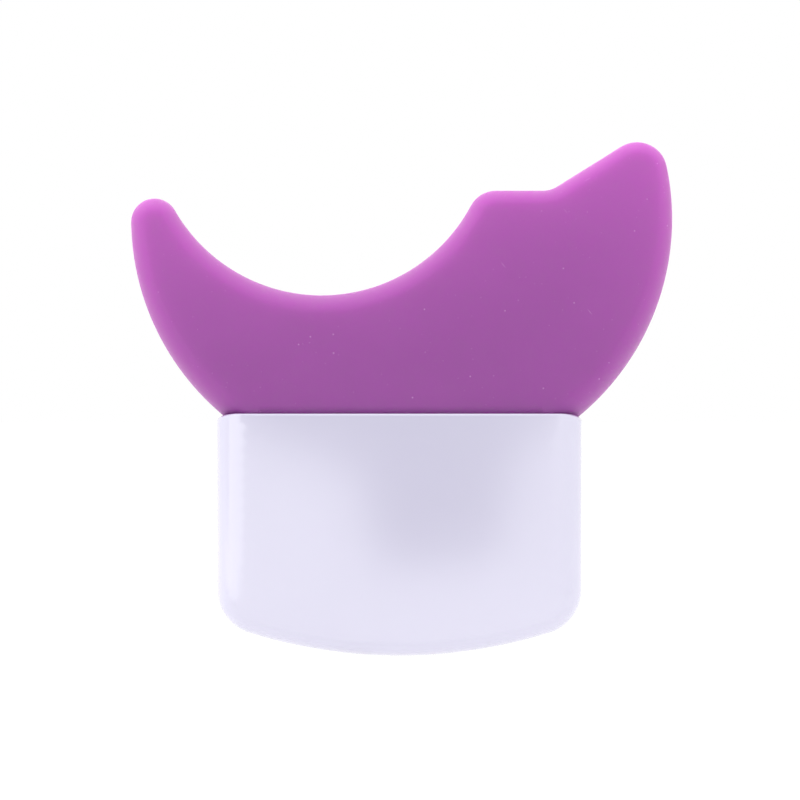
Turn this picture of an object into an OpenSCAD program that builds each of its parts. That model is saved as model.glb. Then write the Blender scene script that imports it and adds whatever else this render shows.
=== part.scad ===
// Silicone eye make-up guide with a pull-off handle sleeve.
// It stands upright: X is the width, Y the thickness and Z the height.
// The origin is at the lowest point of the sleeve's base, under its middle.

/* [Sleeve] */
// Width of the handle sleeve
sleeve_w = 47.2; // [44:0.1:52]
// Height of the handle sleeve, from its base to its rim
sleeve_h = 31.3; // [30:0.1:36]
// Thickness of the handle sleeve, front to back
sleeve_t = 11; // [10:0.1:14]
// Wall thickness of the sleeve
sleeve_wall = 1.5; // [1.2:0.1:2]
// Radius of the two bottom corners, seen from the front
corner_r = 5.8; // [4:0.1:8]
// Radius of the curved base, seen from the front
base_r = 66; // [50:1:120]
// Width of the rounding along the sides
side_round = 2.8; // [2:0.1:3.4]
// Width of the rounding along the base
base_round = 1.9; // [1.5:0.1:3]
// Height of the rounded outer edge of the rim
lip_h = 1; // [0.5:0.1:1.4]
// Width of that edge along the front and back
lip_side_w = 0.8; // [0.3:0.1:1]
// Width of that edge at the two ends
lip_end_w = 2.2; // [1:0.1:2.6]

/* [Blade] */
// Radius of the two large arcs down the blade's outer sides
outer_r = 33.2; // [32:0.1:35]
// Distance of each of those arcs' centres from the line midway between them
outer_cx = 1.9; // [1:0.05:3]
// Distance of that line from the sleeve's middle, to the right
outer_mid = 0.3; // [0:0.05:0.45]
// Height of those arcs' centres
outer_cz = 56.6; // [54:0.1:60]
// Radius of the concave lash edge
bite_r = 22; // [20:0.1:24]
// Centre of the concave lash edge, left of the middle
bite_cx = -10.1; // [-12:0.1:-8]
// Height of the centre of the concave lash edge
bite_cz = 68.6; // [67:0.1:71]
// Radius of the left tip
left_tip_r = 3; // [2.4:0.1:3.2]
// Radius of the rounded corner between the lash edge and the ledge
bump_r = 3.7; // [3:0.1:5]
// Height of the level ledge
ledge_z = 60.2; // [58:0.1:62]
// Where the level ledge ends and the liner slope starts
ledge_end_x = 18.6; // [17:0.1:20]
// Angle of the straight liner slope
slope_deg = 32; // [28:0.5:36]
// Radius of the right tip
right_tip_r = 3.9; // [3:0.1:4.5]
// Thickness of the blade where it meets the rim
blade_t_low = 9; // [7:0.1:9.4]
// Thickness of the blade at its highest tip
blade_t_high = 4; // [3:0.1:5]
// Width of the rounded edge where the blade meets the rim
edge_low = 3; // [2:0.1:3.4]
// Width of the rounded edge at the highest tip
edge_high = 1.5; // [1:0.1:1.8]

/* [Core] */
// Length of the part that goes into the sleeve
plug_l = 22; // [15:0.5:22.5]
// Depth of the silicone neck in the sleeve's mouth
neck_l = 3; // [2:0.1:4]
// Gap between the plug and the sleeve, on each side
plug_gap = 0.2; // [0.1:0.05:0.4]
// Thickness of the tongue inside the blade
tongue_t = 2.4; // [1.6:0.1:3]
// Width of the tongue
tongue_w = 36; // [28:1:38]
// Silicone left between the tongue and the blade's upper edges
tongue_cover = 7; // [5:0.5:9]
// Radius of the anchor holes that the silicone flows through
anchor_r = 2; // [1.5:0.1:2.5]
// Thickness of the plug's ribs and plates
rib_t = 1.6; // [1.2:0.1:2]

/* [Hidden] */

arc_step = 9;        // degrees between the points of a small arc
wide_arc_step = 3;   // degrees between the points of a large arc
edge_rings = 4;      // steps in each half of a rounded edge
over = 4;            // how far a shape runs past a plane that cuts it off
skin = 0.01;         // thickness of the slices that a hull joins, and of a small overlap
grip_gap = 0.05;     // play between the grip ribs and the plug
grip_w = 1.2;        // width of a grip rib
lead_in = 0.4;       // chamfer inside the rim and at the plug's foot
plug_ribs = 6;       // ribs across the plug's web
anchor_holes = 5;    // holes in a row through the tongue
anchor_pitch = 7;    // distance between the centres of those holes
anchor_rise = 4.8;   // height of those centres above the rim
blade_top = 66.4;    // height at which the blade reaches blade_t_high

mouth_w = sleeve_w - 2 * sleeve_wall;
mouth_t = sleeve_t - 2 * sleeve_wall;
mouth_r = side_round / 2;
plug_w = mouth_w - 2 * plug_gap;
plug_t = mouth_t - 2 * plug_gap;
neck_z = sleeve_h - neck_l;
plug_z = sleeve_h - plug_l;

// ---- outlines: lists of [point, outward normal], seen from the front ----

function unit(a) = [cos(a), sin(a)];

// An arc from angle a to angle b. side is 1 where the material is inside the circle and -1 where it is outside.
function arc(c, r, a, b, side = 1, step = arc_step) =
    let (n = max(2, ceil(abs(b - a) / step)))
    [for (i = [0:n]) let (u = unit(a + (b - a) * i / n)) [c + r * u, side * u]];

function heading(from, to) = atan2(to[1] - from[1], to[0] - from[0]);

// The same for a direction that points left. It runs through 180 without a jump.
function left_heading(from, to) = 180 - atan2(to[1] - from[1], from[0] - to[0]);

// The crossing of two circles that lies to the left of the line from centre p to centre q.
function crossing(p, rp, q, rq) =
    let (d = norm(q - p), a = (rp * rp - rq * rq + d * d) / (2 * d), h = sqrt(rp * rp - a * a), u = (q - p) / d)
    p + a * u + h * [-u[1], u[0]];

left_c = [outer_mid - outer_cx, outer_cz];
right_c = [outer_mid + outer_cx, outer_cz];
bite_c = [bite_cx, bite_cz];
left_tip_c = crossing(left_c, outer_r - left_tip_r, bite_c, bite_r + left_tip_r);
bump_z = ledge_z - bump_r;
bump_c = [bite_cx + sqrt(pow(bite_r + bump_r, 2) - pow(bite_cz - bump_z, 2)), bump_z];
ledge_c = [ledge_end_x, ledge_z + bump_r];
slope_u = unit(slope_deg);
slope_n = unit(slope_deg - 90);

// The right tip lies on a line under the slope, and touches the right outer arc from inside.
tip_line = ledge_c + (bump_r + right_tip_r) * slope_n - right_c;
tip_along = -tip_line * slope_u
    + sqrt(pow(tip_line * slope_u, 2) - tip_line * tip_line + pow(outer_r - right_tip_r, 2));
right_tip_c = right_c + tip_line + tip_along * slope_u;

// The blade's front outline, clockwise from the rim on the left to the rim on the right. It runs on below the rim.
foot_deg = asin((outer_cz - sleeve_h + over) / outer_r);
blade_outline = concat(
    arc(left_c, outer_r, 180 + foot_deg, left_heading(left_c, left_tip_c), 1, wide_arc_step),
    arc(left_tip_c, left_tip_r, left_heading(left_c, left_tip_c), heading(left_tip_c, bite_c)),
    arc(bite_c, bite_r, left_heading(bite_c, left_tip_c), 360 + heading(bite_c, bump_c), -1, wide_arc_step),
    arc(bump_c, bump_r, heading(bump_c, bite_c), 90),
    arc(ledge_c, bump_r, 270, 270 + slope_deg, -1),
    arc(right_tip_c, right_tip_r, slope_deg + 90, heading(right_c, right_tip_c)),
    arc(right_c, outer_r, heading(right_c, right_tip_c), -foot_deg, 1, wide_arc_step)
);

// The sleeve's front outline moved in by an inset and cut off level at a height, clockwise from the top right.
function sleeve_outline(inset, top) =
    let (r = corner_r - inset,
         cx = sleeve_w / 2 - corner_r,
         cz = base_r - sqrt(pow(base_r - corner_r, 2) - cx * cx),
         lean = asin(cx / (base_r - corner_r)))
    concat(
        [[[sleeve_w / 2 - inset, top], [1, 0]]],
        arc([cx, cz], r, 0, -90 + lean),
        arc([0, base_r], base_r - inset, -90 + lean, -90 - lean, 1, wide_arc_step),
        arc([-cx, cz], r, 270 - lean, 180),
        [[[inset - sleeve_w / 2, top], [-1, 0]]]
    );

// ---- a flat body with rounded edges ----

// edge_w(p, n) is the width of the rounding at an outline point and half_t(z) is half the thickness at a height. deep
// is the depth of the rounding, or 0 for an edge that is round from front to back.
module pillow(outline, edge_w, half_t, deep = 0) {
    n = len(outline);
    stations = concat(
        [for (i = [-edge_rings:-1]) [90 * i / edge_rings, -1]],
        deep > 0 ? [[0, -1], [0, 1]] : [[0, 1]],
        [for (i = [1:edge_rings]) [90 * i / edge_rings, 1]]
    );
    points = [for (s = stations, o = outline)
        let (p = o[0] - o[1] * edge_w(o[0], o[1]) * (1 - cos(s[0])),
             h = half_t(p[1]),
             d = deep > 0 ? deep : h)
        [p[0], s[1] * (h - d) + d * sin(s[0]), p[1]]];
    last = len(stations) - 1;
    sides = [for (k = [0:last - 1], i = [0:n - 1])
        let (j = (i + 1) % n)
        [k * n + i, (k + 1) * n + i, (k + 1) * n + j, k * n + j]];
    front = [for (i = [0:n - 1]) i];
    back = [for (i = [0:n - 1]) last * n + n - 1 - i];
    polyhedron(points, concat([front, back], sides), convexity = 6);
}

// An upright bar whose four long edges are rounded. Its corners have the same facets as a pillow's edges.
module round_bar(w, t, r, h) {
    linear_extrude(h)
        hull()
            for (x = [r - w / 2, w / 2 - r], y = [r - t / 2, t / 2 - r])
                translate([x, y]) circle(r, $fn = 4 * edge_rings);
}

// ---- the handle sleeve ----

// The rounding is wide along the sides and narrower along the base.
sleeve_edge = function(p, n) base_round + (side_round - base_round) * pow(1 - abs(min(0, n[1])), 1.5);
sleeve_half = function(z) sleeve_t / 2;
cavity_edge = function(p, n) mouth_r;
cavity_half = function(z) mouth_t / 2;

// The outer form closes in over the rim's rounded edge in three steps.
module sleeve_form() {
    hull() {
        pillow(sleeve_outline(0, sleeve_h - lip_h), sleeve_edge, sleeve_half, side_round);
        for (a = [30, 60, 90]) {
            end_inset = lip_end_w * (1 - cos(a));
            side_inset = lip_side_w * (1 - cos(a));
            translate([0, 0, sleeve_h - lip_h + lip_h * sin(a) - skin])
                round_bar(sleeve_w - 2 * end_inset, sleeve_t - 2 * side_inset, side_round - side_inset, skin);
        }
    }
}

// A chamfer along the inner edge of each broad wall leads the plug into the mouth.
module mouth_lead_in() {
    for (side = [-1, 1])
        translate([0, side * mouth_t / 2, sleeve_h])
            rotate([45, 0, 0])
                cube([mouth_w - 4 * mouth_r, lead_in * sqrt(2), lead_in * sqrt(2)], center = true);
}

// Two grip ribs on each broad inner face press on the plug.
module grip_ribs() {
    root = mouth_t / 2 + grip_w / 2;
    for (x = [-mouth_w / 4, mouth_w / 4], side = [-1, 1])
        translate([x, side * (root - plug_gap + grip_gap), corner_r])
            round_bar(grip_w, grip_w, grip_w / 4, neck_z - corner_r);
}

module handle_sleeve() {
    color([0.91, 0.89, 0.95])
        difference() {
            sleeve_form();
            difference() {
                pillow(sleeve_outline(sleeve_wall, sleeve_h + over), cavity_edge, cavity_half, mouth_r);
                grip_ribs();
            }
            mouth_lead_in();
        }
}

// ---- the blade ----

// The blade is a wedge, thick at the rim and thin at its tips.
function along_blade(z) = (z - sleeve_h) / (blade_top - sleeve_h);
blade_half = function(z) (blade_t_low + (blade_t_high - blade_t_low) * along_blade(z)) / 2;
blade_edge = function(p, n) edge_low + (edge_high - edge_low) * along_blade(p[1]);

// The tongue's top follows the lash edge, and it is pierced by a row of anchor holes.
module tongue() {
    rotate([90, 0, 0])
        translate([0, 0, -tongue_t / 2])
            linear_extrude(tongue_t)
                difference() {
                    translate([-tongue_w / 2, neck_z - rib_t / 2])
                        square([tongue_w, ledge_z - tongue_cover - neck_z + rib_t / 2]);
                    translate(bite_c) circle(bite_r + tongue_cover, $fn = 72);
                    for (i = [0:anchor_holes - 1])
                        translate([(i - (anchor_holes - 1) / 2) * anchor_pitch, sleeve_h + anchor_rise])
                            circle(anchor_r, $fn = 24);
                }
}

// A web with ribs across it, between a plate at the top and a plate at the foot.
module plug() {
    rib_span = plug_w - 2 * mouth_r - 2 * rib_t;
    translate([0, 0, neck_z - rib_t]) round_bar(plug_w, plug_t, mouth_r, rib_t);
    translate([-rib_span / 2, -rib_t / 2, plug_z + lead_in]) cube([rib_span, rib_t, plug_l - neck_l - rib_t]);
    for (i = [0:plug_ribs - 1])
        translate([(i / (plug_ribs - 1) - 0.5) * rib_span, 0, plug_z + rib_t - skin])
            round_bar(rib_t, plug_t - 2 * lead_in, rib_t / 4, plug_l - neck_l - 2 * rib_t + 2 * skin);
    hull() {
        translate([0, 0, plug_z + lead_in]) round_bar(plug_w, plug_t, mouth_r, rib_t - lead_in);
        translate([0, 0, plug_z])
            round_bar(plug_w - 2 * lead_in, plug_t - 2 * lead_in, mouth_r - lead_in, skin);
    }
}

module blade_core() {
    color([0.93, 0.93, 0.9])
        union() {
            tongue();
            plug();
        }
}

// The silicone is moulded round the tongue, with a neck that fills the mouth above the plug.
module silicone_blade() {
    color([0.62, 0.34, 0.66])
        difference() {
            union() {
                intersection() {
                    pillow(blade_outline, blade_edge, blade_half);
                    translate([-outer_r * 2, -sleeve_t, sleeve_h])
                        cube([outer_r * 4, sleeve_t * 2, outer_r * 2]);
                }
                translate([0, 0, neck_z]) round_bar(plug_w, plug_t, mouth_r, neck_l + skin);
            }
            tongue();
            plug();
        }
}

handle_sleeve();
blade_core();
silicone_blade();
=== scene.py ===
"""The looks of a silicone eye make-up guide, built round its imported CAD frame."""

import math

import bmesh
import bpy
import numpy as np
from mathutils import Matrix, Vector, geometry

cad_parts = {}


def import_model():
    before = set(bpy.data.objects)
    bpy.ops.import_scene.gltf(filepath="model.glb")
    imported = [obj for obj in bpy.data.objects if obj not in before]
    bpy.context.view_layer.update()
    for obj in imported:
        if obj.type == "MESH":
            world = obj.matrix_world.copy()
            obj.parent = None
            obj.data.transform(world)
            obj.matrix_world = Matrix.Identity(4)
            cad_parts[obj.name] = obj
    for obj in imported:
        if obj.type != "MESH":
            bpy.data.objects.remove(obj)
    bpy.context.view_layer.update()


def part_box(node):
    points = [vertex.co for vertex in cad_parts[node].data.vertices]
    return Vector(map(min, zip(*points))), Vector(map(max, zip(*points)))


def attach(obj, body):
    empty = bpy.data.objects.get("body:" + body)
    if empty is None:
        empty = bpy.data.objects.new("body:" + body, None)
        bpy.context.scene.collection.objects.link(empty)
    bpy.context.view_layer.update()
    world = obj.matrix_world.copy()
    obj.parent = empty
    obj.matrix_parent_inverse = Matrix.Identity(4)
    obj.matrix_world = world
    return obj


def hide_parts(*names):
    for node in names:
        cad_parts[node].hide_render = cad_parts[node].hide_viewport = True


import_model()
MM = 0.001

# ---- sizes: the boxes come from the frame, and the rest are the design's driving dimensions ----

SLEEVE_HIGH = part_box("handle_sleeve")[1]
BLADE_LOW, BLADE_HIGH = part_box("silicone_blade")
CORE_LOW, CORE_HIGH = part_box("blade_core")

# the sleeve
SLEEVE_HALF_W = SLEEVE_HIGH.x
SLEEVE_HALF_T = SLEEVE_HIGH.y
RIM_Z = SLEEVE_HIGH.z
WALL = 1.5 * MM
CORNER_R = 5.8 * MM             # the lower corners, seen from the front
BASE_R = 66 * MM                # the curved base
CORNER_X = SLEEVE_HALF_W - CORNER_R
CORNER_Z = BASE_R - math.sqrt((BASE_R - CORNER_R) ** 2 - CORNER_X * CORNER_X)
SIDE_ROUND = 2.8 * MM           # rounding of the long edges at the sides
BASE_ROUND = 1.9 * MM           # and along the base
LIP_END_W = 2.2 * MM            # the rim's rounded edge at the two ends: its width
LIP_H = 1.0 * MM                # and its height
LIP_SIDE_W = 0.3 * MM           # the same along the broad faces
LIP_SIDE_H = 0.3 * MM
LIP_HOLD = 0.05 * MM            # a row of points this far below the rounded edge keeps its bend sharp
MOUTH_HALF_W = SLEEVE_HALF_W - WALL
MOUTH_HALF_T = SLEEVE_HALF_T - WALL
MOUTH_R = SIDE_ROUND / 2
MOUTH_EDGE = 0.25 * MM          # rounding of the mouth's edge
GRIP_RIB_W = 1.2 * MM
GRIP_RIB_H = 0.15 * MM
GRIP_RIB_END = 1 * MM           # the length over which a grip rib fades out at each end

# the blade
OUTER_R = 33.2 * MM             # the two outer arcs, on a left and a right centre
OUTER_CX = 1.9 * MM             # half the distance between their centres
OUTER_MID = 0.3 * MM
OUTER_CZ = 56.6 * MM
BITE_R = 22 * MM                # the concave lash edge
BITE_C = np.array([-10.1, 68.6]) * MM
LEFT_TIP_R = 3 * MM
BUMP_R = 3.7 * MM               # between the lash edge and the ledge, and between the ledge and the slope
LEDGE_Z = 60.2 * MM
LEDGE_END_X = 18.6 * MM
SLOPE = math.radians(32)
RIGHT_TIP_R = 3.9 * MM
BLADE_HALF_T_LOW = BLADE_HIGH.y
BLADE_HALF_T_HIGH = 2.0 * MM
EDGE_LOW = 3.0 * MM             # width of the rounded edge at the rim, seen from the front
EDGE_HIGH = 1.5 * MM            # and at the tips
UNDER_EDGE = 0.3 * MM           # rounding of the lower edge that rests on the rim
UNDER_AIM = 1.2 * MM            # the lower edge rounds in towards a line this far inside the neck
NECK_EDGE = 0.2 * MM            # rounding of the neck's ends

# the core
PLUG_HALF_W = CORE_HIGH.x
PLUG_HALF_T = CORE_HIGH.y
NECK_Z = BLADE_LOW.z
PLUG_Z = CORE_LOW.z
RIB_T = 1.6 * MM
PLUG_RIBS = 6
LEAD_IN = 0.4 * MM
MOULD_EDGE = 0.15 * MM          # rounding of the moulded edges
TONGUE_HALF_T = 1.2 * MM
TONGUE_HALF_W = 18 * MM
TONGUE_COVER = 7 * MM           # silicone above the tongue, along the lash edge
ANCHOR_R = 2 * MM
ANCHOR_PITCH = 7 * MM
ANCHOR_HOLES = 5
ANCHOR_Z = RIM_Z + 4.8 * MM

# the meshes
SPACING = 0.5 * MM              # between the points of an outline
OUTER_ARC_STEPS = 110           # the same in each ring, although the arcs' lengths differ
PATCH = 1.1 * MM                # between the points inside a flat face
PATCH_CLEAR = 0.55              # how far, in those steps, such points stay from the border
NET_ROW = math.sqrt(0.75)       # the height of a triangle with sides of 1
FIT = 0.02 * MM                 # play between faces that would otherwise coincide
OVERLAP = 0.1 * MM              # of pieces that are joined into one
TINY = 1e-9
FOOT_RANGE = (math.radians(40), math.radians(75))   # the angles where an outer arc can meet the rim
HALVINGS = 40                   # of that range, to find the angle where it does


# ---- outlines, seen from the front: lists of (point, outward normal) ----

def unit(angle):
    return np.array([math.cos(angle), math.sin(angle)])


def heading(start, end):
    return math.atan2(end[1] - start[1], end[0] - start[0])


def left_heading(start, end):
    """The heading of a direction that points left. It runs through 180 degrees without a jump."""
    return math.pi - math.atan2(end[1] - start[1], start[0] - end[0])


def arc(centre, radius, start, end, side=1, count=None):
    """Points on a circle, from one angle to another. side is -1 where the material lies outside it."""
    count = count or max(3, math.ceil(abs(end - start) * radius / SPACING))
    angles = np.linspace(start, end, count + 1)
    return [(centre + radius * unit(a), side * unit(a)) for a in angles]


def line(start, end, normal):
    """Points between two ends, which belong to the arcs next to them."""
    count = max(2, math.ceil(np.linalg.norm(end - start) / SPACING))
    return [(start + (end - start) * i / count, normal) for i in range(1, count)]


def crossing(p, rp, q, rq):
    """The crossing of two circles that lies to the left of the line from centre p to centre q."""
    gap = np.linalg.norm(q - p)
    along = (rp * rp - rq * rq + gap * gap) / (2 * gap)
    u = (q - p) / gap
    return p + along * u + math.sqrt(rp * rp - along * along) * np.array([-u[1], u[0]])


LEFT_C = np.array([OUTER_MID - OUTER_CX, OUTER_CZ])
RIGHT_C = np.array([OUTER_MID + OUTER_CX, OUTER_CZ])
LEFT_TIP_C = crossing(LEFT_C, OUTER_R - LEFT_TIP_R, BITE_C, BITE_R + LEFT_TIP_R)
BUMP_Z = LEDGE_Z - BUMP_R
BUMP_C = np.array([BITE_C[0] + math.sqrt((BITE_R + BUMP_R) ** 2 - (BITE_C[1] - BUMP_Z) ** 2), BUMP_Z])
LEDGE_C = np.array([LEDGE_END_X, LEDGE_Z + BUMP_R])


def right_tip_centre():
    """It lies on a line under the liner slope, and the tip touches the right outer arc from inside."""
    along = unit(SLOPE)
    start = LEDGE_C + (BUMP_R + RIGHT_TIP_R) * unit(SLOPE - math.pi / 2) - RIGHT_C
    reach = OUTER_R - RIGHT_TIP_R
    run = -start @ along + math.sqrt((start @ along) ** 2 - start @ start + reach * reach)
    return RIGHT_C + start + run * along


RIGHT_TIP_C = right_tip_centre()


def rim_z(x):
    """The height of the sleeve's rim, which drops in a rounded corner at each end."""
    t = np.clip((abs(x) - (SLEEVE_HALF_W - LIP_END_W)) / LIP_END_W, 0, 1)
    return RIM_Z - LIP_H * (1 - math.sqrt(1 - t * t))


def along_blade(z):
    return (z - RIM_Z) / (BLADE_HIGH.z - RIM_Z)


def blade_half(z):
    return BLADE_HALF_T_LOW + (BLADE_HALF_T_HIGH - BLADE_HALF_T_LOW) * along_blade(z)


def blade_edge(z):
    return EDGE_LOW + (EDGE_HIGH - EDGE_LOW) * along_blade(z)


def foot_angle(centre, sign, shrink):
    """The angle at which an outer arc, moved in by a share of the blade's edge, meets the rim."""
    low, high = FOOT_RANGE
    for _ in range(HALVINGS):
        a = (low + high) / 2
        u = np.array([sign * math.cos(a), -math.sin(a)])
        p = centre + OUTER_R * u
        p = p - u * blade_edge(p[1]) * shrink
        low, high = (a, high) if p[1] > rim_z(p[0]) + FIT else (low, a)
    return (low + high) / 2


def blade_outline(shrink):
    """The blade's outline, clockwise from the rim on the left to the rim on the right."""
    left, right = foot_angle(LEFT_C, -1, shrink), foot_angle(RIGHT_C, 1, shrink)
    tip_in = left_heading(LEFT_C, LEFT_TIP_C)
    tip_out = heading(LEFT_TIP_C, BITE_C)
    bite_in = left_heading(BITE_C, LEFT_TIP_C)
    bite_out = 2 * math.pi + heading(BITE_C, BUMP_C)
    slope_n = unit(SLOPE + math.pi / 2)
    ledge = [BUMP_C + BUMP_R * unit(math.pi / 2), LEDGE_C - BUMP_R * unit(math.pi / 2)]
    slope = [LEDGE_C - BUMP_R * slope_n, RIGHT_TIP_C + RIGHT_TIP_R * slope_n]
    return (
        arc(LEFT_C, OUTER_R, math.pi + left, tip_in, 1, OUTER_ARC_STEPS)
        + arc(LEFT_TIP_C, LEFT_TIP_R, tip_in, tip_out)[1:]
        + arc(BITE_C, BITE_R, bite_in, bite_out, -1)[1:]
        + arc(BUMP_C, BUMP_R, heading(BUMP_C, BITE_C), math.pi / 2)[1:]
        + line(*ledge, unit(math.pi / 2))
        + arc(LEDGE_C, BUMP_R, 1.5 * math.pi, 1.5 * math.pi + SLOPE, -1)
        + line(*slope, slope_n)
        + arc(RIGHT_TIP_C, RIGHT_TIP_R, SLOPE + math.pi / 2, heading(RIGHT_C, RIGHT_TIP_C))
        + arc(RIGHT_C, OUTER_R, heading(RIGHT_C, RIGHT_TIP_C), -right, 1, OUTER_ARC_STEPS)[1:]
    )


def sleeve_outline():
    """The sleeve's outline below the rim's rounding, from the left, under the base, to the right."""
    lean = math.asin(CORNER_X / (BASE_R - CORNER_R))
    side, top = SLEEVE_HALF_W, RIM_Z - LIP_H
    down, left, right = -math.pi / 2, np.array([-1.0, 0]), np.array([1.0, 0])
    return (
        [(np.array([-side, top]), left)]
        + line(np.array([-side, top]), np.array([-side, CORNER_Z]), left)
        + arc(np.array([-CORNER_X, CORNER_Z]), CORNER_R, -math.pi, down - lean)
        + arc(np.array([0, BASE_R]), BASE_R, down - lean, down + lean)[1:]
        + arc(np.array([CORNER_X, CORNER_Z]), CORNER_R, down + lean, 0)[1:]
        + line(np.array([side, CORNER_Z]), np.array([side, top]), right)
        + [(np.array([side, top]), right)]
    )


# ---- mesh building ----

class Builder:
    """Collects points and faces, and makes one smooth mesh of them."""

    def __init__(self):
        self.points = []
        self.faces = []

    def add(self, points):
        first = len(self.points)
        self.points += [tuple(p) for p in points]
        return list(range(first, len(self.points)))

    def strip(self, a, b, closed=False):
        """Quads between two rows of points with the same count."""
        count = len(a)
        for i in range(count if closed else count - 1):
            j = (i + 1) % count
            self.faces.append((a[i], a[j], b[j], b[i]))

    def grow(self, last, points):
        """Adds a closed row of points and joins it to the last one."""
        row = self.add(points)
        self.strip(last, row, closed=True)
        return row

    def patch(self, border, depth):
        """Fills a border of points with an even net of triangles.

        depth(x, z) gives the y of each new point.
        """
        flat = np.array([[self.points[i][0], self.points[i][2]] for i in border])
        places = [Vector(p) for p in np.vstack([flat, inside_points(flat, PATCH)])]
        inside_only = 1
        coords, _, faces, origins, _, _ = geometry.delaunay_2d_cdt(
            places, [], [list(range(len(border)))], inside_only, TINY)
        index = {}
        for new, olds in enumerate(origins):
            old = min(olds)
            if old < len(border):
                index[new] = border[old]
            else:
                x, z = coords[new]
                index[new] = self.add([(x, depth(x, z), z)])[0]
        self.faces += [tuple(index[i] for i in face) for face in faces]

    def object(self, name):
        mesh = bpy.data.meshes.new(name)
        mesh.from_pydata(self.points, [], self.faces)
        mesh.update()
        made = bpy.data.objects.new(name, mesh)
        bpy.context.scene.collection.objects.link(made)
        tidy_mesh(made)
        return made


def tidy_mesh(piece):
    """Joins doubled points, turns every face outwards and shades it smooth."""
    doubled_below, edgeless_below = 1e-7, 1e-8
    bm = bmesh.new()
    bm.from_mesh(piece.data)
    bmesh.ops.remove_doubles(bm, verts=bm.verts, dist=doubled_below)
    bmesh.ops.dissolve_degenerate(bm, edges=bm.edges, dist=edgeless_below)
    bmesh.ops.recalc_face_normals(bm, faces=bm.faces)
    for face in bm.faces:
        face.smooth = True
    bm.to_mesh(piece.data)
    bm.free()


def inside_points(border, spacing):
    """An even triangular net of points inside a border, clear of its edge."""
    low, high = border.min(0), border.max(0)
    rows = int((high[1] - low[1]) / (spacing * NET_ROW))
    columns = int((high[0] - low[0]) / spacing)
    net = np.array([
        [low[0] + (i + 0.5 * (j % 2)) * spacing, low[1] + j * spacing * NET_ROW]
        for j in range(1, rows + 1) for i in range(columns + 1)])
    x, z = net[:, 0], net[:, 1]
    hit = np.zeros(len(net), bool)
    for (x1, z1), (x2, z2) in zip(border, np.roll(border, -1, 0)):
        if z1 != z2:
            hit ^= ((z1 > z) != (z2 > z)) & (x < (x2 - x1) * (z - z1) / (z2 - z1) + x1)
    net = net[hit]
    gap = np.array([np.min(np.linalg.norm(border - p, axis=1)) for p in net])
    return net[gap > PATCH_CLEAR * spacing]


def round_loop(half_w, half_t, radius, places):
    """A rounded rectangle seen from above, with a point at each of the places that loop_places makes."""
    return [
        (cx * (half_w - radius) + nx * radius, cy * (half_t - radius) + ny * radius)
        for cx, cy, nx, ny in places]


def loop_places(corner_steps, end_steps, side_steps):
    """Where the points of a rounded rectangle lie, from the front left corner round the left end.

    Each is (corner x, corner y, normal x, normal y). Along a side, the corner's place slides from -1 to 1.
    """
    quarter = [math.pi / 2 * i / corner_steps for i in range(corner_steps + 1)]
    ends = [2 * i / end_steps - 1 for i in range(1, end_steps)]
    sides = [2 * i / side_steps - 1 for i in range(1, side_steps)]
    return (
        [(-1, -1, -math.sin(a), -math.cos(a)) for a in quarter]
        + [(-1, s, -1, 0) for s in ends]
        + [(-1, 1, -math.cos(a), math.sin(a)) for a in quarter]
        + [(s, 1, 0, 1) for s in sides]
        + [(1, 1, math.sin(a), math.cos(a)) for a in quarter]
        + [(1, -s, 1, 0) for s in ends]
        + [(1, -1, math.cos(a), -math.sin(a)) for a in quarter]
        + [(-s, -1, 0, -1) for s in sides]
    )


# ---- the silicone blade ----

EDGE_STEPS = 9                  # rings in each half of the blade's rounded edge
UNDER_STEPS = 3                 # rows of points round its lower edge
FLASH_H = 0.05 * MM             # height of the mould line that runs round the blade's edge
BESIDE_FLASH = math.radians(1.6)
PAINTED_RIM_LIGHT = 0.2                 # painted light: how much of the painted edge-light colour a straight edge gets
RIM_REACH = 0.9 * MM            # how far that painted light reaches in from the edge
PAINTED_DEEP_LIGHT = 0.7                # painted light: how much of the colour painted for light through thin silicone a straight edge at the top gets
DEEP_REACH = 6 * MM


def blade_ring(angle):
    """One ring round the blade's edge. The angle runs from the front, at -90 degrees, to the back."""
    shrink = 1 - math.cos(angle)
    flash = FLASH_H if angle == 0 else 0
    points = []
    for p, n in blade_outline(shrink):
        x, z = p - n * (blade_edge(p[1]) * shrink - flash)
        points.append((x, blade_half(z) * math.sin(angle), z))
    return points


def blade_angles():
    half = [math.pi / 2 * (i / EDGE_STEPS) for i in range(1, EDGE_STEPS + 1)]
    return [-a for a in reversed(half)] + [-BESIDE_FLASH, 0, BESIDE_FLASH] + half


def into_neck(x, y, inset):
    """The nearest point to (x, y) in the neck's rounded rectangle."""
    half_w, half_t = PLUG_HALF_W - inset, PLUG_HALF_T - inset
    radius = MOUTH_R - inset
    cx = np.clip(x, radius - half_w, half_w - radius)
    cy = np.clip(y, radius - half_t, half_t - radius)
    out = np.array([x - cx, y - cy])
    size = np.linalg.norm(out)
    if size > radius:
        out *= radius / size
    return cx + out[0], cy + out[1]


def silicone_blade():
    """One closed skin: the rounded edge, the two broad faces, and the underside with the neck."""
    build = Builder()
    rings = [build.add(blade_ring(a)) for a in blade_angles()]
    for a, b in zip(rings, rings[1:]):
        build.strip(a, b)
    foot = []
    for ring, sign in ((rings[0], -1), (rings[-1], 1)):
        x_left, x_right = build.points[ring[0]][0], build.points[ring[-1]][0]
        count = int((x_right - x_left) / SPACING)
        xs = np.linspace(x_right, x_left, count + 1)[1:-1]
        bottom = build.add([(x, sign * blade_half(rim_z(x)), rim_z(x) + FIT) for x in xs])
        build.patch(ring + bottom, lambda x, z, sign=sign: sign * blade_half(z))
        foot.append(bottom)
    loop = [r[0] for r in rings] + foot[1][::-1] + [r[-1] for r in reversed(rings)] + foot[0]
    underside(build, loop)
    made = build.object("silicone_blade_skin")
    # painted light: stores at each point how much lighter the silicone's colour is painted near its edges
    # and thin top
    store_painted_glow(made)
    return made


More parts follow.
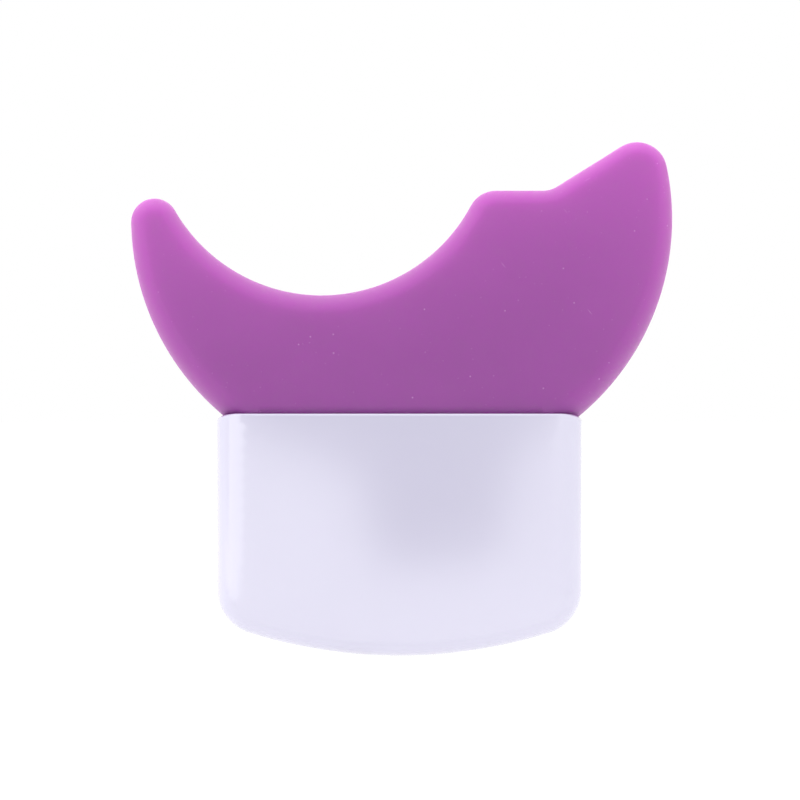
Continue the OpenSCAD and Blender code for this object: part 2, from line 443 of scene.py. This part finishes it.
def seep(length, away, reach):
    """Light through stretches of edge of these lengths, this far away. It is 1 at a long straight edge."""
    return float(length @ np.exp(-away / reach)) / (2 * reach)


def store_painted_glow(piece):
    """Stores at each point how much painted light its colour gets, which stands in for light that seeps in
    through the edges near it.

    The painted rim light is a thin line along the blade's outline. The painted deep light reaches further
    in, where the blade is thin.
    """
    edge = np.array([p for p, _ in blade_outline(0)])
    length = np.linalg.norm(np.gradient(edge, axis=0), axis=1)
    rim, deep = [], []
    for vertex in piece.data.vertices:
        x, _, z = vertex.co
        away = np.hypot(edge[:, 0] - x, edge[:, 1] - z)
        thin = max(along_blade(z), 0)
        # painted light: a thin lighter line along the outline, and a broad lightening that reaches in
        # where the blade is thin
        rim.append(PAINTED_RIM_LIGHT * seep(length, away, RIM_REACH))
        deep.append(PAINTED_DEEP_LIGHT * thin * seep(length, away, DEEP_REACH))
    for name, values in (("painted_rim_light", rim), ("painted_deep_light", deep)):
        piece.data.attributes.new(name, "FLOAT", "POINT").data.foreach_set("value", values)


def under_edge_row(top, middle, turn):
    """A row of points round the lower edge, each drawn in towards its point in the middle."""
    row = []
    for (x, y, z), (mx, my) in zip(top, middle):
        away = np.array([x - mx, y - my])
        pull = UNDER_EDGE * (1 - math.cos(turn)) * away / max(np.linalg.norm(away), TINY)
        row.append((x - pull[0], y - pull[1], z - FIT * math.sin(turn)))
    return row


def underside(build, loop):
    """The rounded lower edge, the flat that rests on the rim, and the neck that fills the mouth."""
    top = [build.points[i] for i in loop]
    middle = [into_neck(x, y, UNDER_AIM) for x, y, _ in top]
    last = loop
    for step in range(1, UNDER_STEPS + 1):
        last = build.grow(last, under_edge_row(top, middle, math.pi / 2 * step / UNDER_STEPS))
    bottom = NECK_Z - RIM_Z
    for inset, drop in ((0, -NECK_EDGE), (0, 0.5 * bottom), (0, bottom + NECK_EDGE), (NECK_EDGE, bottom)):
        last = build.grow(last, [(*into_neck(x, y, inset + FIT), RIM_Z + drop) for x, y, _ in top])
    build.faces.append(tuple(last))


# ---- the handle sleeve ----

CORNER_STEPS = 10               # steps round a corner, seen from above
END_STEPS = 8                   # across an end
SIDE_STEPS = 96                 # along a broad face
LIP_STEPS = 6                   # over the rim's rounded edge
BELOW_LIP = -1                  # the step before the first, which holds the bend
MOUTH_STEPS = 3
WALL_ROWS = 24                  # down the inner walls, enough for the grip ribs' ends
FLOOR_STEPS = 12
FLOOR_INSET = 0.98              # of MOUTH_R, so that the last row's corners still have a radius


def sleeve_ring(place):
    """One ring round the sleeve's sides and base, at a place on the rim's left end."""
    _, cy, nx, ny = place
    points = []
    for p, n in sleeve_outline():
        width = BASE_ROUND + (SIDE_ROUND - BASE_ROUND) * (1 - abs(min(0, n[1]))) ** 1.5
        x, z = p - n * width * (1 + nx)
        points.append((x, cy * (SLEEVE_HALF_T - SIDE_ROUND) + ny * SIDE_ROUND, z))
    return points


def handle_sleeve():
    """One closed shell: the outside, the rim, and the cavity with its grip ribs."""
    build = Builder()
    places = loop_places(CORNER_STEPS, END_STEPS, SIDE_STEPS)
    left_end = places[:2 * CORNER_STEPS + END_STEPS + 1]
    rings = [build.add(sleeve_ring(place)) for place in left_end]
    for a, b in zip(rings, rings[1:]):
        build.strip(a, b)
    edge = SLEEVE_HALF_W - SIDE_ROUND
    xs = [edge * (2 * i / SIDE_STEPS - 1) for i in range(1, SIDE_STEPS)]
    top = {}
    for ring, sign in ((rings[0], -1), (rings[-1], 1)):
        y = sign * SLEEVE_HALF_T
        top[sign] = build.add([(x, y, RIM_Z - LIP_H) for x in xs])
        build.patch(ring + top[sign][::-1], lambda x, z, y=y: y)
    loop = [r[0] for r in rings] + top[1] + [r[-1] for r in reversed(rings)] + top[-1][::-1]
    lip_and_cavity(build, loop, places)
    return build.object("handle_sleeve_shell")


def rib_bulge(x, y, z):
    """How far a grip rib stands out of the broad inner wall at a point."""
    if abs(y) < MOUTH_HALF_T - TINY:
        return 0
    near = min(abs(abs(x) - MOUTH_HALF_W / 2) / (GRIP_RIB_W / 2), 1)
    upper_end = min(max((NECK_Z - z) / GRIP_RIB_END, 0), 1)
    lower_end = min(max((z - CORNER_R) / GRIP_RIB_END, 0), 1)
    return GRIP_RIB_H * math.cos(near * math.pi / 2) ** 0.5 * upper_end * lower_end


def lip_point(point, place, step):
    """A point on the rim's rounded edge, which is wide at the ends and narrow along the broad faces."""
    (x, y, _), (_, _, nx, ny) = point, place
    end_turn = math.acos(1 - (WALL - 2 * MOUTH_EDGE) / LIP_END_W)
    full_turn = math.pi / 2 - nx * nx * (math.pi / 2 - end_turn)
    turn = full_turn * max(step, 0) / LIP_STEPS
    height = LIP_SIDE_H + (LIP_H - LIP_SIDE_H) * nx * nx
    z = RIM_Z - height * (1 - math.sin(turn))
    if step == BELOW_LIP:
        z = max(z - LIP_HOLD, RIM_Z - LIP_H)
    shrink = 1 - math.cos(turn)
    return x - nx * LIP_END_W * shrink, y - ny * LIP_SIDE_W * shrink, z


def mouth_rows(places, top_z):
    """Rows over the mouth's small rounded edge, from the heights of the rim's top."""
    rows = []
    for step in range(MOUTH_STEPS + 1):
        turn = math.pi / 2 * step / MOUTH_STEPS
        out = MOUTH_EDGE * (1 - math.sin(turn))
        drop = MOUTH_EDGE * (1 - math.cos(turn))
        ring = round_loop(MOUTH_HALF_W + out, MOUTH_HALF_T + out, MOUTH_R + out, places)
        rows.append([(x, y, z - drop) for (x, y), z in zip(ring, top_z)])
    return rows


def wall_rows(places):
    """Rows down the straight inner walls, with the grip ribs."""
    ring = round_loop(MOUTH_HALF_W, MOUTH_HALF_T, MOUTH_R, places)
    return [
        [(x, y - math.copysign(rib_bulge(x, y, z), y), z) for x, y in ring]
        for z in np.linspace(RIM_Z - LIP_H, CORNER_Z, WALL_ROWS)]


def floor_rows(places):
    """Rows round the cavity's lower edge and in over its curved floor."""
    rows = []
    for step in range(1, FLOOR_STEPS + 1):
        turn = math.pi / 2 * step / FLOOR_STEPS
        inset = MOUTH_R * (1 - math.cos(turn)) * FLOOR_INSET
        deep = (CORNER_R - WALL) * (1 - math.cos(turn))
        row = []
        for x, y in round_loop(MOUTH_HALF_W - deep, MOUTH_HALF_T - inset, MOUTH_R - inset, places):
            floor_z = WALL + BASE_R - math.sqrt(BASE_R * BASE_R - x * x)
            row.append((x, y, CORNER_Z + (floor_z - CORNER_Z) * math.sin(turn)))
        rows.append(row)
    return rows


def lip_and_cavity(build, loop, places):
    """Over the rim's rounded edge, across its narrow top, and down the inner walls to the floor."""
    outer = [build.points[i] for i in loop]
    last = loop
    for step in range(BELOW_LIP, LIP_STEPS + 1):
        row = [lip_point(point, place, step) for point, place in zip(outer, places)]
        last = build.grow(last, row)
    top_z = [z for _, _, z in row]
    for row in [*mouth_rows(places, top_z), *wall_rows(places), *floor_rows(places)]:
        last = build.grow(last, row)
    build.faces.append(tuple(last))


# ---- the core ----

def box_mesh(name, low, high):
    """A plain box between two corners, for a rib or a web."""
    build = Builder()
    (x1, y1, z1), (x2, y2, z2) = low, high
    lower = build.add([(x1, y1, z1), (x2, y1, z1), (x2, y2, z1), (x1, y2, z1)])
    upper = build.add([(x1, y1, z2), (x2, y1, z2), (x2, y2, z2), (x1, y2, z2)])
    build.strip(lower, upper, closed=True)
    build.faces += [tuple(lower), tuple(upper)]
    return build.object(name)


def plate(name, z_low, z_high, lead_in=0.0):
    """A plate with rounded upright edges, whose lower rim is drawn in by the lead-in, if it has one."""
    levels = [(0, z_low + lead_in), (0, z_high)]
    if lead_in:
        levels.insert(0, (lead_in, z_low))
    build = Builder()
    places = loop_places(corner_steps=6, end_steps=2, side_steps=2)
    rows = []
    for inset, z in levels:
        ring = round_loop(PLUG_HALF_W - inset, PLUG_HALF_T - inset, MOUTH_R - inset, places)
        rows.append(build.add([(x, y, z) for x, y in ring]))
    build.faces.append(tuple(rows[0]))
    for a, b in zip(rows, rows[1:]):
        build.strip(a, b, closed=True)
    build.faces.append(tuple(rows[-1]))
    return build.object(name)


def tongue():
    """The flat tongue, whose top follows the lash edge, pierced by a row of anchor holes."""
    top = LEDGE_Z - TONGUE_COVER
    reach = BITE_R + TONGUE_COVER
    left_z = BITE_C[1] - math.sqrt(reach ** 2 - (TONGUE_HALF_W + BITE_C[0]) ** 2)
    right_x = BITE_C[0] + math.sqrt(reach ** 2 - (BITE_C[1] - top) ** 2)
    start = heading(BITE_C, np.array([-TONGUE_HALF_W, left_z]))
    end = heading(BITE_C, np.array([right_x, top]))
    foot_z = NECK_Z - RIB_T / 2
    outline = [(TONGUE_HALF_W, top), (TONGUE_HALF_W, foot_z), (-TONGUE_HALF_W, foot_z)]
    outline += [tuple(p) for p, _ in arc(BITE_C, reach, start, end)]
    build = Builder()
    front = build.add([(x, -TONGUE_HALF_T, z) for x, z in outline])
    back = build.add([(x, TONGUE_HALF_T, z) for x, z in outline])
    build.strip(front, back, closed=True)
    build.faces += [tuple(front), tuple(back)]
    made = build.object("core_tongue")
    for i in range(ANCHOR_HOLES):
        subtract(made, pin((i - (ANCHOR_HOLES - 1) / 2) * ANCHOR_PITCH))
    return made


def pin(x):
    """A round bar along Y, to cut an anchor hole."""
    build = Builder()
    steps = 32
    rows = []
    for y in (-2 * TONGUE_HALF_T, 2 * TONGUE_HALF_T):
        ring = [ANCHOR_R * unit(2 * math.pi * i / steps) for i in range(steps)]
        rows.append(build.add([(x + p[0], y, ANCHOR_Z + p[1]) for p in ring]))
    build.strip(*rows, closed=True)
    build.faces += [tuple(rows[0]), tuple(rows[1])]
    return build.object("pin")


def apply_modifiers(piece):
    """Keeps what the modifiers make as the piece's own mesh."""
    made = bpy.data.meshes.new_from_object(piece.evaluated_get(bpy.context.evaluated_depsgraph_get()))
    piece.modifiers.clear()
    piece.data = made


def boolean(piece, other, operation):
    """Joins or cuts a piece with another, which is then removed."""
    modifier = piece.modifiers.new(operation, "BOOLEAN")
    modifier.operation = operation
    modifier.solver = "EXACT"
    modifier.object = other
    bpy.context.view_layer.update()
    apply_modifiers(piece)
    bpy.data.objects.remove(other)


def subtract(piece, other):
    boolean(piece, other, "DIFFERENCE")


def unite(piece, others):
    for other in others:
        boolean(piece, other, "UNION")


def blade_core():
    """A ribbed plug between two plates, with the tongue above it and slightly rounded moulded edges."""
    foot_top = PLUG_Z + RIB_T
    head = NECK_Z - RIB_T
    span = PLUG_HALF_W - MOUTH_R - RIB_T
    low_z, high_z = foot_top - OVERLAP, head + OVERLAP
    rib_half_t = PLUG_HALF_T - LEAD_IN
    made = plate("blade_core_plug", head, NECK_Z)
    web = box_mesh("web", (-span, -RIB_T / 2, low_z), (span, RIB_T / 2, high_z))
    ribs = []
    for i in range(PLUG_RIBS):
        x = span * (2 * i / (PLUG_RIBS - 1) - 1)
        left, right = x - RIB_T / 2, x + RIB_T / 2
        ribs.append(box_mesh("rib", (left, -rib_half_t, low_z), (right, rib_half_t, high_z)))
    unite(made, [web, *ribs, plate("foot", PLUG_Z, foot_top, LEAD_IN), tongue()])
    round_edges(made)
    return made


def round_edges(piece):
    """Rounds the sharp edges and shades the rest smooth."""
    bevel = piece.modifiers.new("edges", "BEVEL")
    bevel.width = MOULD_EDGE
    bevel.segments = 2
    bevel.limit_method = "ANGLE"
    bevel.angle_limit = math.radians(35)
    bpy.context.view_layer.update()
    apply_modifiers(piece)
    tidy_mesh(piece)
    piece.data.set_sharp_from_angle(angle=math.radians(40))


# ---- materials ----

# A pair is the two ends of a colour's slow drift.
PURPLE = ((0.312, 0.076, 0.332, 1), (0.328, 0.080, 0.348, 1))
# Painted light: the next two colours stand in for light that seeps through thin silicone and for the lit
# edges. They are not colours of the silicone itself.
PAINTED_SEEP_PURPLE = (0.520, 0.115, 0.515, 1)
PAINTED_EDGE_PINK = (0.455, 0.255, 0.365, 1)
DUST_PINK = (0.62, 0.33, 0.63, 1)
LAVENDER = ((0.643, 0.622, 0.775, 1), (0.658, 0.637, 0.79, 1))
MILKY = ((0.72, 0.72, 0.68, 1), (0.78, 0.78, 0.75, 1))
BLACK_CLOTH = (0.02, 0.02, 0.022, 1)
FLOOR_GREY = (0.2, 0.2, 0.2, 1)
WHITE = (1, 1, 1, 1)


class Nodes:
    """Short calls for a material's node tree, with object coordinates in metres."""

    def __init__(self, name):
        self.material = bpy.data.materials.new(name)
        self.material.use_nodes = True
        self.tree = self.material.node_tree
        self.shader = self.tree.nodes["Principled BSDF"]
        self.place = self.tree.nodes.new("ShaderNodeTexCoord").outputs["Object"]

    def new(self, kind, inputs=None, **settings):
        """A node of a kind, with values or links for its inputs."""
        node = self.tree.nodes.new(kind)
        for key, value in settings.items():
            setattr(node, key, value)
        for key, value in (inputs or {}).items():
            if isinstance(value, bpy.types.NodeSocket):
                self.tree.links.new(value, node.inputs[key])
            else:
                node.inputs[key].default_value = value
        return node

    def noise(self, size, detail, roughness=0.5):
        """Noise from 0 to 1, whose features are about size metres across."""
        node = self.new("ShaderNodeTexNoise", {"Vector": self.place, "Scale": 1 / size, "Detail": detail,
                                               "Roughness": roughness})
        return node.outputs["Fac"]

    def span(self, value, low, high, to_low, to_high):
        """Takes a value from low and high to to_low and to_high, and holds it at both ends."""
        node = self.new("ShaderNodeMapRange", {"Value": value, "From Min": low, "From Max": high,
                                               "To Min": to_low, "To Max": to_high})
        return node.outputs["Result"]

    def math(self, operation, a, b):
        return self.new("ShaderNodeMath", {0: a, 1: b}, operation=operation).outputs[0]

    def mix(self, factor, a, b):
        """A mix of two colours. Inputs 6 and 7 and output 2 are the node's sockets for colours."""
        node = self.new("ShaderNodeMix", {"Factor": factor}, data_type="RGBA")
        for socket, value in ((node.inputs[6], a), (node.inputs[7], b)):
            if isinstance(value, bpy.types.NodeSocket):
                self.tree.links.new(value, socket)
            else:
                socket.default_value = value
        return node.outputs[2]

    def drift(self, cloud, low, high):
        """A number that drifts from low to high with a cloud of noise, mostly between 0.3 and 0.7."""
        return self.span(cloud, 0.3, 0.7, low, high)

    def drift_colour(self, cloud, low, high):
        return self.mix(self.drift(cloud, 0, 1), low, high)

    def bump(self, height, distance, strength, below=None):
        inputs = {"Height": height, "Distance": distance, "Strength": strength}
        if below is not None:
            inputs["Normal"] = below
        return self.new("ShaderNodeBump", inputs).outputs["Normal"]

    def dots(self, spacing, share, radius, turn=0.0, stretch=1.0):
        """A mask of small dots, in a share of a net's cells. A stretch along a turn makes them fibres."""
        place = self.new("ShaderNodeMapping", {"Vector": self.place, "Rotation": (0, turn, 0),
                                               "Scale": (stretch, 1, 1)}, vector_type="TEXTURE")
        node = self.new("ShaderNodeTexVoronoi", {"Vector": place.outputs[0], "Scale": 1 / spacing,
                                                 "Randomness": 1.0})
        near = self.span(node.outputs["Distance"], radius / spacing, 0.5 * radius / spacing, 0.0, 1.0)
        red = self.new("ShaderNodeSeparateColor", {0: node.outputs["Color"]}).outputs[0]
        kept = self.math("LESS_THAN", red, share)
        return self.math("MULTIPLY", near, kept)

    def set(self, **values):
        """Sets or links the shader's sockets, and returns the material."""
        for key, value in values.items():
            socket = self.shader.inputs[key.replace("_", " ")]
            if isinstance(value, bpy.types.NodeSocket):
                self.tree.links.new(value, socket)
            else:
                socket.default_value = value
        return self.material


def silicone_marks(n):
    """A mask of the dust, the finer specks and the short fibres of lint on the silicone."""
    dust = n.dots(spacing=1.5 * MM, share=0.4, radius=0.13 * MM)
    haze = n.dots(spacing=0.9 * MM, share=0.5, radius=0.07 * MM)
    lint = n.math(
        "MAXIMUM",
        n.dots(spacing=1.2 * MM, share=0.2, radius=0.07 * MM, turn=0.9, stretch=9),
        n.dots(spacing=1.4 * MM, share=0.2, radius=0.07 * MM, turn=-0.5, stretch=9))
    faint = n.math("MULTIPLY", n.math("MAXIMUM", haze, lint), 0.6)
    return n.math("MAXIMUM", dust, faint)


def silicone_material():
    """Satin translucent purple silicone with painted light: its colour is painted lighter towards the
    edges and the thin top, where light seeps in; with fine dust and lint on it.
    """
    n = Nodes("silicone")
    cloud = n.noise(9 * MM, 4.0, 0.55)
    painted_rim_light = n.new("ShaderNodeAttribute", attribute_name="painted_rim_light").outputs["Fac"]
    painted_deep_light = n.new("ShaderNodeAttribute", attribute_name="painted_deep_light").outputs["Fac"]
    base = n.drift_colour(cloud, *PURPLE)
    # painted light: the colour is painted lighter towards the edges and the thin top, where light seeps
    # through
    base = n.mix(painted_deep_light, base, PAINTED_SEEP_PURPLE)
    base = n.mix(painted_rim_light, base, PAINTED_EDGE_PINK)
    marks = silicone_marks(n)
    colour = n.mix(n.math("MULTIPLY", marks, 0.6), base, DUST_PINK)
    normal = n.bump(n.noise(0.22 * MM, 2.0), 0.012 * MM, 0.5)
    normal = n.bump(n.noise(5 * MM, 2.0), 0.06 * MM, 0.5, normal)
    normal = n.bump(marks, 0.04 * MM, 0.6, normal)
    return n.set(Base_Color=colour, Roughness=n.drift(cloud, 0.5, 0.6), Normal=normal, IOR=1.41,
                 Subsurface_Weight=n.span(marks, 0, 1, 1.0, 0.3),
                 Subsurface_Radius=(1.0, 0.3, 0.95), Subsurface_Scale=5 * MM)


def gloss_material():
    """Glossy, very pale lavender plastic, with a slight moulded waviness and fine scuffs."""
    n = Nodes("handle_gloss")
    cloud = n.noise(14 * MM, 3.0)
    colour = n.drift_colour(cloud, *LAVENDER)
    scuffs = n.noise(0.5 * MM, 5.0, 0.7)
    wave = n.bump(n.noise(3.5 * MM, 1.0), 0.004 * MM, 0.6)
    return n.set(Base_Color=colour, Roughness=n.span(scuffs, 0.35, 0.75, 0.09, 0.13), Normal=wave, IOR=1.6,
                 Coat_Weight=1.0, Coat_Roughness=0.1, Coat_IOR=2.0,
                 Subsurface_Weight=0.1, Subsurface_Radius=(1.0, 0.8, 1.0), Subsurface_Scale=0.6 * MM)


def core_material():
    """Natural milky polypropylene, satin from the mould."""
    n = Nodes("core_plastic")
    cloud = n.noise(6 * MM, 3.0)
    colour = n.drift_colour(cloud, *MILKY)
    grain = n.bump(n.noise(0.15 * MM, 2.0), 0.01 * MM, 0.5)
    return n.set(Base_Color=colour, Roughness=n.drift(cloud, 0.36, 0.46), Normal=grain, IOR=1.49,
                 Subsurface_Weight=0.25, Subsurface_Radius=(1.0, 1.0, 0.9), Subsurface_Scale=0.8 * MM)


def floor_material():
    """Matt and pale, with some light of its own, so that the floor reads as an even white."""
    n = Nodes("floor")
    return n.set(Base_Color=FLOOR_GREY, Roughness=0.9, Specular_IOR_Level=0.0,
                 Emission_Color=WHITE, Emission_Strength=0.9)


# ---- the studio ----

STRIP_Y = -0.35                 # where the lit strip stands, on the camera's side
CARD_Y = -0.3                   # and the dark card


def flat_piece(name, corners, material):
    """A flat stage piece that isn't part of the object."""
    build = Builder()
    build.faces.append(tuple(build.add(corners)))
    made = build.object(name)
    made.data.materials.append(material)
    return made


def floor():
    """A plain pale floor that the base touches, wide enough to fill every view."""
    half = 6.0
    corners = [(-half, -half, 0), (half, -half, 0), (half, half, 0), (-half, half, 0)]
    flat_piece("floor", corners, floor_material())


def soft_light(name, place, target, width, height, radiance, diffuse=True, glossy=True):
    """A soft rectangular light that the camera doesn't see, aimed at a point."""
    data = bpy.data.lights.new(name, "AREA")
    data.shape = "RECTANGLE"
    data.size = width
    data.size_y = height
    data.energy = math.pi * width * height * radiance
    made = bpy.data.objects.new(name, data)
    made.location = place
    made.rotation_euler = (Vector(target) - Vector(place)).to_track_quat("-Z", "Y").to_euler()
    made.visible_camera = False
    made.visible_diffuse = diffuse
    made.visible_glossy = glossy
    bpy.context.scene.collection.objects.link(made)


def broad_lights():
    """A large light overhead, one at the left and a weaker one at the right. No surface mirrors them."""
    middle = (0, 0, 0.05)
    soft_light("top_light", (-0.1, 0, 0.8), (0, 0, 0.04), 0.6, 0.6, radiance=3.0, glossy=False)
    soft_light("left_light", (-0.6, 0.05, 0.15), middle, 0.5, 0.6, radiance=1.1, glossy=False)
    soft_light("right_light", (0.6, 0.05, 0.15), middle, 0.5, 0.6, radiance=0.3, glossy=False)


def left_strip():
    """A lit patch at the left, standing and on the floor, that the sleeve's rounded left edge mirrors."""
    low_x, high_x, high_z, radiance = -0.42, -0.041, 0.7, 0.5
    deep, above_floor = 0.25, 0.2 * MM
    x, wide = (low_x + high_x) / 2, high_x - low_x
    y, z = STRIP_Y + deep / 2, high_z / 2
    soft_light("left_strip", (x, STRIP_Y, z), (x, 0, z), wide, high_z, radiance, diffuse=False)
    soft_light("low_strip", (x, y, above_floor), (x, y, 1), wide, deep, radiance, diffuse=False)


def card_corners():
    """The dark card's corners, as the points of the sleeve's front where they are to show: (x, z).

    The card is narrow at its foot, and spreads out below the rim.
    """
    foot_x, foot_half, foot_z = 5 * MM, 7.8 * MM, 11.8 * MM
    waist_z, wing_z, top_z = 23.5 * MM, 30.2 * MM, 4 * RIM_Z
    return [
        (foot_x - foot_half, foot_z), (foot_x + foot_half, foot_z + MM),
        (foot_x + foot_half + 1.5 * MM, waist_z + 2 * MM), (SLEEVE_HALF_W - 4 * MM, wing_z),
        (SLEEVE_HALF_W + 6 * MM, top_z), (-SLEEVE_HALF_W - 6 * MM, top_z),
        (-SLEEVE_HALF_W + 2 * MM, wing_z), (foot_x - foot_half - 2 * MM, waist_z),
    ]


def dark_card():
    """A dark card on the camera's side, which only shows as a soft reflection in the glossy sleeve.

    Its corners lie where the camera's rays to those points go once the sleeve has mirrored them.
    """
    cloth = Nodes("dark_cloth")
    cloth.set(Base_Color=BLACK_CLOTH, Roughness=1.0, Specular_IOR_Level=0.0)
    camera_x, camera_y, camera_z = bpy.context.scene.camera.location
    far = CARD_Y / camera_y
    corners = [(x + (x - camera_x) * far, CARD_Y, z + (z - camera_z) * far) for x, z in card_corners()]
    made = flat_piece("dark_card", corners, cloth.material)
    made.visible_camera = False
    made.visible_diffuse = False
    made.visible_shadow = False


def world():
    """A white surround, the same on every side."""
    made = bpy.data.worlds.new("surround")
    bpy.context.scene.world = made
    made.use_nodes = True
    back = made.node_tree.nodes["Background"]
    back.inputs["Color"].default_value = WHITE
    back.inputs["Strength"].default_value = 1.0


def camera():
    """A long lens at the object's height, straight in front."""
    view_width = 103.9 * MM
    distance = 0.6
    aside, above_rim = 0.09 * MM, 1.75 * MM
    data = bpy.data.cameras.new("camera")
    data.sensor_width = 36
    data.lens = data.sensor_width * distance / view_width
    data.clip_start = 0.01
    data.clip_end = 50
    made = bpy.data.objects.new("camera", data)
    made.location = (aside, -distance, RIM_Z + above_rim)
    made.rotation_euler = (math.pi / 2, 0, 0)
    bpy.context.scene.collection.objects.link(made)
    bpy.context.scene.camera = made


# ---- assembly ----

def finish_piece(piece, body, node, material):
    """Gives a piece its material and its body, and hides the CAD node that it stands for."""
    piece.data.materials.clear()
    piece.data.materials.append(material)
    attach(piece, body)
    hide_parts(node)


finish_piece(silicone_blade(), "blade", "silicone_blade", silicone_material())
finish_piece(blade_core(), "blade", "blade_core", core_material())
finish_piece(handle_sleeve(), "handle", "handle_sleeve", gloss_material())

floor()
world()
camera()
left_strip()
dark_card()
broad_lights()
bpy.context.scene.view_settings.view_transform = "Standard"
